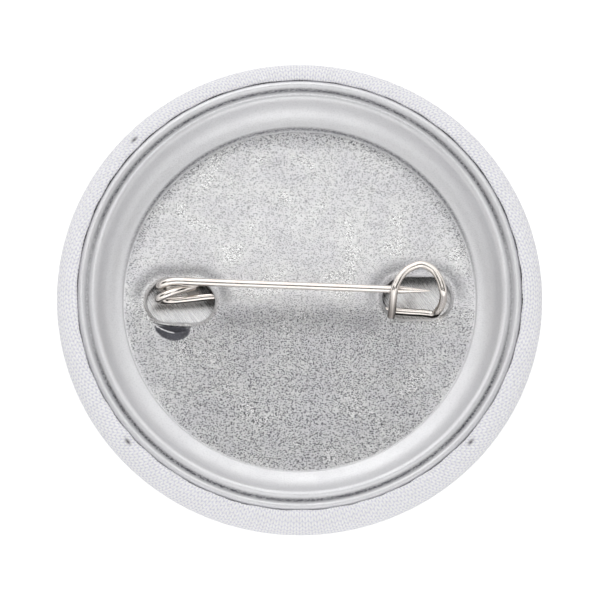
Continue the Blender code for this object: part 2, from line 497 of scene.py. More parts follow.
class Sheet:
    """A material under construction, with its Principled shader at hand."""

    def __init__(self, name: str) -> None:
        """Start a material.

        Args:
            name: the material's name.
        """
        self.material = bpy.data.materials.new(name)
        self.material.use_nodes = True
        self.tree = self.material.node_tree
        self.shader = self.tree.nodes["Principled BSDF"]

    def set(self, **values: float | tuple) -> None:
        """Set plain values, an underscore standing for a space."""
        for key, value in values.items():
            self.shader.inputs[key.replace("_", " ")].default_value = value

    def node(self, kind: str, **settings: object) -> bpy.types.Node:
        """Add a node and set its properties."""
        return add_node(self.tree, kind, **settings)

    def math(self, operation: str, *values: object) -> bpy.types.NodeSocket:
        """Add a Math node and return its output."""
        return add_math(self.tree, operation, *values)

    def link(self, source: bpy.types.NodeSocket, target: bpy.types.NodeSocket) -> None:
        """Join two sockets."""
        self.tree.links.new(source, target)

    def feed(self, name: str, source: bpy.types.NodeSocket) -> None:
        """Link a source to a named input of the shader."""
        self.link(source, self.shader.inputs[name])

    def group(self, tree: bpy.types.NodeTree, **values: object) -> bpy.types.NodeSocket:
        """Place a shared group and set or link its inputs.

        Args:
            tree: the group.
            values: sockets or numbers, by the names of its inputs.

        Returns:
            Its output.
        """
        node = self.node("Group", node_tree=tree)
        for key, value in values.items():
            if isinstance(value, bpy.types.NodeSocket):
                self.link(value, node.inputs[key])
            else:
                node.inputs[key].default_value = value
        return node.outputs[0]

    def coordinates(self) -> bpy.types.NodeSocket:
        """The piece's own coordinates, in metres."""
        return self.node("TexCoord").outputs["Object"]

    def stored(self, name: str) -> bpy.types.NodeSocket:
        """A vector kept on the mesh."""
        return self.node("Attribute", attribute_name=name).outputs["Vector"]

    def number(self, name: str) -> bpy.types.NodeSocket:
        """A number kept on the mesh."""
        return self.node("Attribute", attribute_name=name).outputs["Fac"]

    def placed(self, vector: bpy.types.NodeSocket, turn: float, scale: Point3) -> bpy.types.NodeSocket:
        """Turn coordinates about Z, then stretch them.

        Args:
            vector: the coordinates.
            turn: the angle.
            scale: how often a pattern repeats along each axis.

        Returns:
            The new coordinates.
        """
        turned = self.node("Mapping")
        turned.inputs["Rotation"].default_value = (0.0, 0.0, turn)
        self.link(vector, turned.inputs["Vector"])
        stretched = self.node("Mapping")
        stretched.inputs["Scale"].default_value = scale
        self.link(turned.outputs["Vector"], stretched.inputs["Vector"])
        return stretched.outputs["Vector"]

    def ramp(
        self, value: bpy.types.NodeSocket, low: float, high: float, to_low: float, to_high: float
    ) -> bpy.types.NodeSocket:
        """Map a value smoothly from one range to another.

        Args:
            value: the value.
            low: start of its range.
            high: end of its range.
            to_low: what low becomes.
            to_high: what high becomes.

        Returns:
            The mapped value.
        """
        node = self.node("MapRange", interpolation_type="SMOOTHSTEP")
        self.link(value, node.inputs["Value"])
        limits = {"From Min": low, "From Max": high, "To Min": to_low, "To Max": to_high}
        for key, number in limits.items():
            node.inputs[key].default_value = number
        return node.outputs["Result"]

    def mix(
        self, share: bpy.types.NodeSocket, first: bpy.types.NodeSocket | Colour, second: Colour
    ) -> bpy.types.NodeSocket:
        """Mix two colours by a share.

        Args:
            share: 0 for the first, 1 for the second.
            first: a socket or a plain colour.
            second: a plain colour.

        Returns:
            The mixed colour.
        """
        node = self.node("Mix", data_type="RGBA")
        self.link(share, node.inputs["Factor"])
        if isinstance(first, bpy.types.NodeSocket):
            self.link(first, node.inputs["A"])
        else:
            node.inputs["A"].default_value = (*first, 1.0)
        node.inputs["B"].default_value = (*second, 1.0)
        return node.outputs["Result"]

    def bump(self, height: bpy.types.NodeSocket, distance: float) -> None:
        """Feed the shader's normal from a height.

        Args:
            height: the height.
            distance: how high a height of 1 stands.
        """
        node = self.node("Bump")
        node.inputs["Strength"].default_value = 1.0
        node.inputs["Distance"].default_value = distance
        self.link(height, node.inputs["Height"])
        self.feed("Normal", node.outputs["Normal"])


@dataclass(frozen=True)
class KnitFinish:
    """White single-jersey cloth with a faint lavender painted shade between its stitches."""

    yarn: Colour = (0.95, 0.95, 0.955)
    shade: Colour = (0.70, 0.69, 0.79)
    # near-black painted shade for the dents that the snags leave
    snag: Colour = (0.06, 0.05, 0.06)
    column: float = 0.78 * MM
    row: float = 0.66 * MM
    relief: float = 0.06 * MM

    def make(self, groups: Groups) -> bpy.types.Material:
        """Build the material.

        Args:
            groups: the shared shader groups.

        Returns:
            The material.
        """
        sheet = Sheet("white_jersey")
        cloth = sheet.stored("cloth")
        height = sheet.group(groups.stitches, Vector=cloth, Column=self.column, Row=self.row)
        sheet.set(Roughness=0.92, Sheen_Weight=0.25, Sheen_Roughness=0.5, Specular_IOR_Level=0.2)
        # painted shade: the low places between the stitches take the lavender tone
        shading = sheet.ramp(height, 0.05, 0.55, 0.0, 1.0)
        tone = sheet.mix(shading, self.shade, self.yarn)
        # painted shade: the snags' dents are coloured near-black
        marks = sheet.number("snag")
        sheet.feed("Base Color", sheet.mix(marks, tone, self.snag))
        fibre = sheet.node("TexNoise")
        fibre.inputs["Scale"].default_value = 9000.0
        fibre.inputs["Detail"].default_value = 2.0
        sheet.link(cloth, fibre.inputs["Vector"])
        woolly = sheet.math("MULTIPLY_ADD", fibre.outputs["Fac"], 0.35, height)
        sheet.bump(woolly, self.relief)
        return sheet.material


@dataclass(frozen=True)
class PlateFinish:
    """Tinplate that is satin on its rim and ring and pebbled on its disc."""

    metal: Colour = (0.92, 0.92, 0.92)
    dull: Colour = (0.86, 0.855, 0.875)
    satin: Colour = (0.76, 0.76, 0.775)
    # near-black painted shade, for the pebbles' hollows and for the stored painted shade
    pit_shade: Colour = (0.10, 0.10, 0.115)
    pebble: float = 0.21 * MM
    pebble_squeeze: float = 1.7
    pebble_depth: float = 0.20 * MM
    satin_depth: float = 0.03 * MM
    line_depth: float = 0.003 * MM
    satin_roughness: float = 0.50
    disc_roughness: float = 0.27
    satin_metallic: float = 0.85

    def make(self, groups: Groups) -> bpy.types.Material:
        """Build the material.

        Args:
            groups: the shared shader groups.

        Returns:
            The material.
        """
        sheet = Sheet("tinplate")
        place = sheet.coordinates()
        grainy = sheet.number("grain")
        metallic = sheet.ramp(grainy, 0.0, 0.4, self.satin_metallic, 1.0)
        sheet.feed("Metallic", metallic)
        # painted shade stored on the plate: groove, upper shoulder and disc's edge, fold and below it,
        # round the slots, blister
        painted_shade = sheet.number("painted_shade")
        squeezed = sheet.placed(place, 0.0, (1.0, self.pebble_squeeze, 1.0))
        pebbles = sheet.group(groups.pebbles, Vector=squeezed, Size=self.pebble)
        turned = sheet.group(groups.lines, Vector=sheet.stored("turned"), Scale=2500.0)
        patches = sheet.group(groups.patches, Vector=place, Size=4.0 * MM)
        smooth_share = sheet.ramp(grainy, 0.0, 0.3, 0.85, 0.0)
        plain = sheet.mix(smooth_share, sheet.mix(patches, self.metal, self.dull), self.satin)
        raised = sheet.math("MULTIPLY_ADD", grainy, -0.03, pebbles)
        # painted shade in the pebbles' hollows, stronger where the grain is strong
        pits = sheet.ramp(raised, 0.60, 0.72, 1.0, 0.0)
        pitted = sheet.math("MULTIPLY", pits, sheet.math("MULTIPLY_ADD", grainy, 0.84, 0.09))
        # the stored painted shade, halved on the pebbles' tops
        stains = sheet.math("MULTIPLY", painted_shade, sheet.ramp(pebbles, 0.6, 0.95, 1.0, 0.5))
        dark = sheet.math("MAXIMUM", pitted, stains)
        sheet.feed("Base Color", sheet.mix(dark, plain, self.pit_shade))
        rough = sheet.ramp(grainy, 0.0, 0.4, self.satin_roughness, self.disc_roughness)
        sheet.feed("Roughness", sheet.math("MULTIPLY_ADD", patches, 0.05, rough))
        depth = sheet.math("MULTIPLY_ADD", grainy, self.pebble_depth, self.satin_depth)
        lines = sheet.math("MULTIPLY", turned, self.line_depth)
        sheet.bump(sheet.math("MULTIPLY_ADD", pebbles, depth, lines), 1.0)
        return sheet.material


@dataclass(frozen=True)
class ShellFinish:
    """Tinplate brushed in slanting lines on its inner side, with a patch of painted shade under the
    crescent cut.
    """

    metal: Colour = (0.86, 0.86, 0.86)
    dull: Colour = (0.62, 0.62, 0.63)
    slant: float = math.radians(-55.0)
    # near-black painted shade, so the crescent cut above it looks dark
    lance_shade_colour: Colour = (0.05, 0.05, 0.06)

    def make(self, groups: Groups) -> bpy.types.Material:
        """Build the material.

        Args:
            groups: the shared shader groups.

        Returns:
            The material.
        """
        sheet = Sheet("brushed_shell")
        brushed = sheet.placed(sheet.coordinates(), -self.slant, (350.0, 6000.0, 350.0))
        lines = sheet.group(groups.lines, Vector=brushed, Scale=1.0)
        sheet.set(Metallic=0.75)
        tone = sheet.ramp(lines, 0.35, 0.65, 0.0, 1.0)
        # painted shade under the crescent cut
        lance_shade = sheet.number("lance_shade")
        plain = sheet.mix(tone, self.dull, self.metal)
        sheet.feed("Base Color", sheet.mix(lance_shade, plain, self.lance_shade_colour))
        sheet.feed("Roughness", sheet.math("MULTIPLY_ADD", lines, 0.15, 0.2))
        sheet.bump(lines, 0.02 * MM)
        return sheet.material


@dataclass(frozen=True)
class DullFinish:
    """Dull lacquered side of the sheet, turned towards the inside of the badge."""

    lacquer: Colour = (0.18, 0.17, 0.16)
    worn: Colour = (0.26, 0.25, 0.24)

    def make(self, groups: Groups) -> bpy.types.Material:
        """Build the material.

        Args:
            groups: the shared shader groups.

        Returns:
            The material.
        """
        sheet = Sheet("dull_underside")
        patches = sheet.group(groups.patches, Vector=sheet.coordinates(), Size=3.0 * MM)
        sheet.feed("Base Color", sheet.mix(patches, self.lacquer, self.worn))
        sheet.set(Metallic=1.0, Roughness=0.5)
        return sheet.material


@dataclass(frozen=True)
class WireFinish:
    """Bright nickel-plated spring wire with fine drawing lines along it."""

    plating: Colour = (0.85, 0.80, 0.755)
    worn: Colour = (0.66, 0.58, 0.52)
    # a darker colour towards the catch's cut end
    cut_end_dark: Colour = (0.20, 0.18, 0.17)
    plain_from: float = 4.2 * MM

    def make(self, groups: Groups) -> bpy.types.Material:
        """Build the material.

        Args:
            groups: the shared shader groups.

        Returns:
            The material.
        """
        sheet = Sheet("nickel_wire")
        along = sheet.stored("along")
        stretched = sheet.placed(along, 0.0, (250.0, 5000.0, 1.0))
        lines = sheet.group(groups.lines, Vector=stretched, Scale=1.0)
        patches = sheet.group(groups.patches, Vector=sheet.coordinates(), Size=1.2 * MM)
        sheet.set(Metallic=1.0)
        wear = sheet.math("MULTIPLY", patches, sheet.ramp(lines, 0.45, 0.7, 0.0, 0.5))
        split = sheet.node("SeparateXYZ")
        sheet.link(along, split.inputs[0])
        # the wire turns darker towards the catch's cut end
        cut_end = sheet.ramp(split.outputs["X"], 0.3 * MM, self.plain_from, 0.95, 0.0)
        plain = sheet.mix(wear, self.plating, self.worn)
        sheet.feed("Base Color", sheet.mix(cut_end, plain, self.cut_end_dark))
        sheet.feed("Roughness", sheet.math("MULTIPLY_ADD", lines, 0.12, 0.15))
        sheet.bump(lines, 0.004 * MM)
        return sheet.material


# ---------------------------------------------------------------- cover and shell


@dataclass
class CoverOutline:
    """Outer profile of the cover, which the shell under it follows."""

    radius: float
    equator: float = 4.3 * MM
    flat: float = 7.0 * MM
    face_edge: float = 24.6 * MM
    face_rise: float = 2.0 * MM
    roll_top: Point2 = (26.05 * MM, 7.05 * MM)
    tuck: Point2 = (25.62 * MM, 6.2 * MM)

    def points(self) -> list[Point2]:
        """Points from the tucked edge over the roll and down to the middle of the face.

        Returns:
            Radius and height of each point.
        """
        equator = (self.radius, self.equator)
        edge = (self.face_edge, self.face_rise)
        bulge = self.radius - 0.9 * MM
        roll_height = self.roll_top[1]
        turn = (25.44 * MM, roll_height)
        outline = [self.tuck]
        outline += bezier(self.tuck, (25.57 * MM, 6.72 * MM), turn, self.roll_top, 10)
        outline += bezier(self.roll_top, (bulge, roll_height), (self.radius, 5.8 * MM), equator, 24)
        outline += bezier(equator, (self.radius, 3.0 * MM), (26.7 * MM, 2.37 * MM), edge, 16)
        for radius in np.linspace(self.face_edge, self.flat, 12)[1:]:
            outline.append((radius, self.face_height(radius)))
        outline.append((0.0, 0.0))
        return outline

    def face_height(self, radius: float) -> float:
        """Height of the domed face at a radius."""
        share = (radius**2 - self.flat**2) / (self.face_edge**2 - self.flat**2)
        return self.face_rise * share


@dataclass
class KnitCover:
    """Knitted disc stretched over the shell, its edge folded over and tucked beside the bead."""

    outline: CoverOutline
    finish: KnitFinish
    thickness: float = 0.45 * MM
    cut_diameter: float = 70.0 * MM
    fine_count: int = 960
    fine_step: float = 0.17 * MM
    coarse_step: float = 0.55 * MM
    relief: float = 0.08 * MM
    pulled_back: float = 0.05 * MM
    pulled_side: float = math.radians(-46.0)
    pulled_width: float = math.radians(30.0)
    scallops: float = 118.0
    pucker: float = 0.035 * MM
    puckers: float = 38.0
    stitched_width: float = 5.2 * MM
    snag_reach: Point2 = (0.42 * MM, 0.2 * MM)
    snag_depth: float = 0.12 * MM
    snags: tuple[Point2, ...] = (
        (math.radians(-41.9), 26.35 * MM),
        (math.radians(-138.3), 26.4 * MM),
        (math.radians(136.0), 26.5 * MM),
    )

    def stitch_height(self, cloth: np.ndarray) -> np.ndarray:
        """Height of the knit at places in the flat cloth, as the finish draws it.

        Args:
            cloth: places, one row each.

        Returns:
            Heights from 0 to 1.
        """
        across = np.abs(2.0 * np.mod(cloth[:, 0] / self.finish.column, 1.0) - 1.0)
        slanted = cloth[:, 1] / self.finish.row - 0.62 * across
        along = 0.5 + 0.5 * np.cos(2.0 * np.pi * slanted)
        leg = np.abs(np.sin(np.pi * across)) ** 0.6
        return leg * (0.25 + 0.75 * along)

    def edge_pull(self, angle: np.ndarray) -> np.ndarray:
        """How far the tucked edge stands back from the bead round the badge.

        Args:
            angle: directions about Z.

        Returns:
            Distances outwards.
        """
        away = np.abs(half_turns(angle - self.pulled_side))
        pull = self.pulled_back * (1.0 - smoothstep(0.0, self.pulled_width, away))
        scallop = 0.5 + 0.5 * np.sin(angle * self.scallops)
        slow = np.sin(3.0 * angle + 0.7) + 0.6 * np.sin(7.0 * angle + 2.1)
        return pull * (0.75 + 0.35 * scallop) + 0.02 * MM * slow

    def outer_rings(self) -> tuple[list[np.ndarray], list[np.ndarray], list[np.ndarray]]:
        """Rings of the outer surface, with their places in the flat cloth and snag marks.

        Returns:
            Rings, cloth places and snag marks, from the tucked edge to the middle of the face.
        """
        fine = respaced(self.outline.points(), self.fine_step)
        from_edge = travelled(fine)
        whole = float(from_edge[-1])
        coarse = np.arange(self.stitched_width, whole - self.coarse_step, self.coarse_step)
        places = np.concatenate([from_edge[from_edge < self.stitched_width], coarse, [whole]])
        profile = read_at(places, from_edge, fine)
        slope = unit_rows(np.gradient(profile, places, axis=0))
        outwards = np.stack([-slope[:, 1], slope[:, 0]], axis=1)
        outwards[-1] = (0.0, -1.0)
        rings, cloths, marks = [], [], []
        for index, place in enumerate(places):
            count = self.ring_count(place)
            radius, height = profile[index]
            if index == len(places) - 1:
                count, radius = 1, 0.0
            reach = whole - place
            ring, cloth, mark = self.shaped_ring(count, radius, height, outwards[index], reach, place)
            rings.append(ring)
            cloths.append(cloth)
            marks.append(mark)
        return rings, cloths, marks

    def ring_count(self, place: float) -> int:
        """How many points a ring has, fewer where the stitches are left to the finish.

        Args:
            place: distance along the cloth from the tucked edge.

        Returns:
            The count.
        """
        if place < self.stitched_width:
            return self.fine_count
        if place < self.stitched_width + 2.0 * self.coarse_step:
            return self.fine_count // 2
        return self.fine_count // 4

    def shaped_ring(
        self, count: int, radius: float, height: float, outwards: np.ndarray, reach: float, place: float
    ) -> tuple[np.ndarray, np.ndarray, np.ndarray]:
        """One ring with stitches, puckers, snags and the pulled edge.

        Args:
            count: how many points.
            radius: its radius before it is shaped.
            height: its height.
            outwards: the outline's outward direction there, as radius and height.
            reach: distance along the cloth from the middle of the face.
            place: distance along the cloth from the tucked edge.

        Returns:
            Points, cloth places and snag marks.
        """
        angle = np.linspace(0.0, 2.0 * np.pi, count, endpoint=False)
        cloth = np.stack([reach * np.cos(angle), reach * np.sin(angle), np.zeros(count)], axis=1)
        near_edge = 1.0 - smoothstep(0.6 * MM, 3.4 * MM, place)
        fade = 1.0 - smoothstep(self.stitched_width - 1.0 * MM, self.stitched_width, place)
        stitches = self.stitch_height(cloth) * self.relief * fade
        pucker = self.pucker * np.sin(self.puckers * angle + 2.0 * np.sin(5.0 * angle)) * near_edge
        snag = np.zeros(count)
        for centre, distance in self.snags:
            aside = half_turns(angle - centre) * radius
            offset = np.hypot(aside / self.snag_reach[0], (radius - distance) / self.snag_reach[1])
            snag = np.maximum(snag, np.where(height > self.outline.equator, np.exp(-offset**2), 0.0))
        push = stitches - self.relief + pucker - self.snag_depth * snag
        wide = radius + outwards[0] * push + self.edge_pull(angle) * near_edge**2
        tall = height + outwards[1] * push
        if radius <= 0.0:
            wide, tall = np.zeros(count), np.full(count, height)
        tall = np.maximum(tall, 0.0)
        points = np.stack([wide * np.cos(angle), wide * np.sin(angle), tall], axis=1)
        return points, cloth, snag

    def build(self, groups: Groups) -> bpy.types.Object:
        """Make the cover as one closed sheet.

        Args:
            groups: the shared shader groups.

        Returns:
            The cover.
        """
        rings, cloths, marks = self.outer_rings()
        surface = Rings()
        inner = inset(respaced(self.outline.points(), 0.8 * MM), self.thickness)
        inner_count = self.fine_count // 4
        for radius, height in inner[::-1]:
            surface.add(circle(radius, height, inner_count))
        for share, count in ((1 / 3, inner_count), (2 / 3, 2 * inner_count)):
            outer = rings[0][:: self.fine_count // count]
            surface.add(outer * share + circle(*inner[0], count) * (1.0 - share))
        for ring in rings:
            surface.add(ring)
        points, faces = surface.mesh_data()
        extra = len(points) - sum(len(ring) for ring in rings)
        cover = new_piece("knit_cover", points, faces, self.finish.make(groups))
        store_places(cover, "cloth", np.concatenate([points[:extra], *cloths]))
        store_numbers(cover, "snag", np.concatenate([np.zeros(extra), *marks]))
        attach(cover, Body.BADGE.value)
        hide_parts("fabric_cover")
        return cover


@dataclass
class FrontShell:
    """Domed steel shell under the cover, brushed on the side that the slots show."""

    outline: CoverOutline
    finish: ShellFinish
    under_cover: float = 0.55 * MM
    thickness: float = 0.25 * MM
    rim_radius: float = 26.6 * MM
    # where the painted shade under the crescent cut lies, and how far it reaches
    lance_shade_middle: Point2 = (-14.6 * MM, -3.5 * MM)
    lance_shade_reach: Point2 = (3.2 * MM, 1.6 * MM)
    count: int = 240

    def build(self, groups: Groups) -> bpy.types.Object:
        """Make the shell as one closed sheet with its rim curled in.

        Args:
            groups: the shared shader groups.

        Returns:
            The shell.
        """
        points = respaced(self.outline.points(), 0.5 * MM)
        start = int(np.argmax(points[:, 0] > self.rim_radius))
        outside = inset(points, self.under_cover)[start:]
        inside = inset(points, self.under_cover + self.thickness)[start:]
        surface = Rings()
        for radius, height in np.concatenate([inside[::-1], outside]):
            surface.add(circle(radius, height, self.count))
        places, faces = surface.mesh_data()
        shell = new_piece("front_shell_sheet", places, faces, self.finish.make(groups))
        # painted shade on the shell under the crescent cut
        offset = (places[:, :2] - self.lance_shade_middle) / self.lance_shade_reach
        store_numbers(shell, "lance_shade", 1.0 - smoothstep(0.75, 1.1, np.hypot(*offset.T)))
        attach(shell, Body.BADGE.value)
        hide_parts("front_shell")
        return shell


# ---------------------------------------------------------------- back plate


@dataclass(frozen=True)
class Slot:
    """An oval slot whose edge is drawn down in a rounded lip."""

    middle: Point2
    length: float = 7.8 * MM
    width: float = 4.94 * MM
    lip: float = 0.75 * MM
    depth: float = 0.26 * MM
    # painted shade: a halo above the slot, cleared from a band below it
    halo_start: Point2 = (0.4 * MM, 1.0 * MM)
    halo_end: Point2 = (1.2 * MM, 2.6 * MM)
    unshaded_end: Point2 = (0.7 * MM, 1.3 * MM)
    lower_half: Point2 = (-1.5 * MM, 1.0 * MM)

    def distance(self, points: np.ndarray) -> np.ndarray:
        """Signed distance from the slot's edge, negative inside.

        Args:
            points: places on the disc.

        Returns:
            One distance a place.
        """
        reach = (self.length - self.width) / 2.0
        across = np.maximum(np.abs(points[:, 0] - self.middle[0]) - reach, 0.0)
        return np.hypot(across, points[:, 1] - self.middle[1]) - self.width / 2.0

    def ring(self, away: float, step: float) -> np.ndarray:
        """Evenly spaced places at one distance from the slot's edge.

        Args:
            away: distance outwards.
            step: rough distance between places.

        Returns:
            The places, in order.
        """
        radius, reach = self.width / 2.0 + away, (self.length - self.width) / 2.0
        bends = max(8, round(math.pi * radius / step))
        runs = max(2, round(2.0 * reach / step))
        angles = np.linspace(0.0, math.pi, bends + 1)
        right = [(reach + radius * math.sin(a), -radius * math.cos(a)) for a in angles]
        top = [(x, radius) for x in np.linspace(reach, -reach, runs + 1)[1:-1]]
        half = np.array(right + top)
        return np.concatenate([half, -half]) + self.middle

    def drop(self, points: np.ndarray) -> np.ndarray:
        """How far the lip pulls the sheet down, zero away from the slot."""
        inwards = np.clip((self.lip - self.distance(points)) / self.lip, 0.0, 1.0)
        return self.depth * inwards**2

    def add_shade(self, points: np.ndarray, found: np.ndarray, strength: float) -> np.ndarray:
        """Clear the painted shade below the slot and add a halo of painted shade above it.

        Args:
            points: places on the plate.
            found: strengths of the painted shade so far.
            strength: how dark the halo is.

        Returns:
            The new strengths.
        """
        away = self.distance(points)
        above = smoothstep(*self.lower_half, points[:, 1] - self.middle[1])
        cleared = (1.0 - above) * (1.0 - smoothstep(*self.unshaded_end, away))
        halo = smoothstep(*self.halo_start, away) * (1.0 - smoothstep(*self.halo_end, away))
        return np.maximum(found * (1.0 - cleared), strength * halo * above)


@dataclass(frozen=True)
class Lance:
    """A crescent cut beside the left slot, its far edge raised in a blister."""

    tips: tuple[Point2, Point2] = ((-16.95 * MM, -2.5 * MM), (-12.35 * MM, -2.95 * MM))
    near_bow: float = 0.15 * MM
    far_bow: float = 1.12 * MM
    rise: float = 0.55 * MM
    edge_width: float = 0.24 * MM
    slope_width: float = 0.95 * MM
    zone_low: Point2 = (-17.5 * MM, -5.8 * MM)
    zone_size: Point2 = (6.0 * MM, 4.0 * MM)
    zone_step: float = 0.1 * MM
    steps: int = 44

    def frame_of(self, points: np.ndarray) -> tuple[np.ndarray, np.ndarray]:
        """Where places on the disc lie, measured from the cut.

        Args:
            points: places on the disc.

        Returns:
            Their share along the cut and their depth across it.
        """
        first, last = np.array(self.tips)
        along = last - first
        length = np.linalg.norm(along)
        along /= length
        across = np.array([along[1], -along[0]])
        offset = points - first
        return offset @ along / length, offset @ across

    def bow(self, share: np.ndarray, deepest: float) -> np.ndarray:
        """Depth of an edge of the crescent along the cut."""
        skew = np.clip(share, 0.0, 1.0) ** 1.25
        return deepest * np.sin(np.pi * skew) ** 0.62

    def edge(self, deepest: float) -> np.ndarray:
        """Places along one edge of the crescent, tip to tip.

        Args:
            deepest: how far the edge bows out.

        Returns:
            The places.
        """
        first, last = np.array(self.tips)
        along = last - first
        across = np.array([along[1], -along[0]]) / np.linalg.norm(along)
        share = (1.0 - np.cos(np.linspace(0.0, np.pi, self.steps))) / 2.0
        return first + share[:, None] * along + self.bow(share, deepest)[:, None] * across

    def loop(self) -> np.ndarray:
        """Places round the hole, in order."""
        near, far = self.edge(self.near_bow), self.edge(self.far_bow)
        return np.concatenate([near, far[-2:0:-1]])

    def inside(self, points: np.ndarray) -> np.ndarray:
        """Whether places lie in the hole.

        Args:
            points: places on the disc.

        Returns:
            True for each place in the hole.
        """
        share, depth = self.frame_of(points)
        within = (share > 0.0) & (share < 1.0) & (depth > self.bow(share, self.near_bow))
        return within & (depth < self.bow(share, self.far_bow))

    def near(self, points: np.ndarray) -> np.ndarray:
        """Whether places lie in the zone with its own finer grid.

        Args:
            points: places on the disc.

        Returns:
            True for each place in the zone.
        """
        share, depth = self.frame_of(points)
        reach = self.far_bow + self.edge_width + self.slope_width
        return (share > -0.06) & (share < 1.06) & (depth > -0.1 * MM) & (depth < reach)

    def blister(self, points: np.ndarray) -> np.ndarray:
        """Where the raised side of the blister gets painted shade.

        Args:
            points: places on the plate.

        Returns:
            Strengths from 0 to 1.
        """
        share, depth = self.frame_of(points)
        rim = smoothstep(0.1 * MM, 0.2 * MM, depth - self.bow(share, self.far_bow))
        rim = np.maximum(rim, smoothstep(0.5, 0.65, share))
        return rim * smoothstep(0.03 * MM, 0.2 * MM, self.lift(points))

    def lift(self, points: np.ndarray) -> np.ndarray:
        """How far the blister raises the sheet beyond the crescent's far edge.

        Args:
            points: places on the disc.

        Returns:
            Heights, zero away from the blister.
        """
        share, depth = self.frame_of(points)
        ends = np.sin(np.pi * np.clip(share, 0.0, 1.0) ** 1.1) ** 0.8
        beyond = depth - self.bow(share, self.far_bow)
        slope = 1.0 - smoothstep(self.edge_width, self.edge_width + self.slope_width, beyond)
        return self.rise * ends * slope * (beyond > -0.02 * MM)


@dataclass(frozen=True)
class ShadeBand:
    """A band of painted shade: the offset where it is darkest, its width and its strength."""

    offset: float
    width: float
    strength: float

    def at(self, distance: np.ndarray) -> np.ndarray:
        """Strength of the painted shade at distances across the band."""
        return self.strength * np.exp(-(((distance - self.offset) / self.width) ** 2))


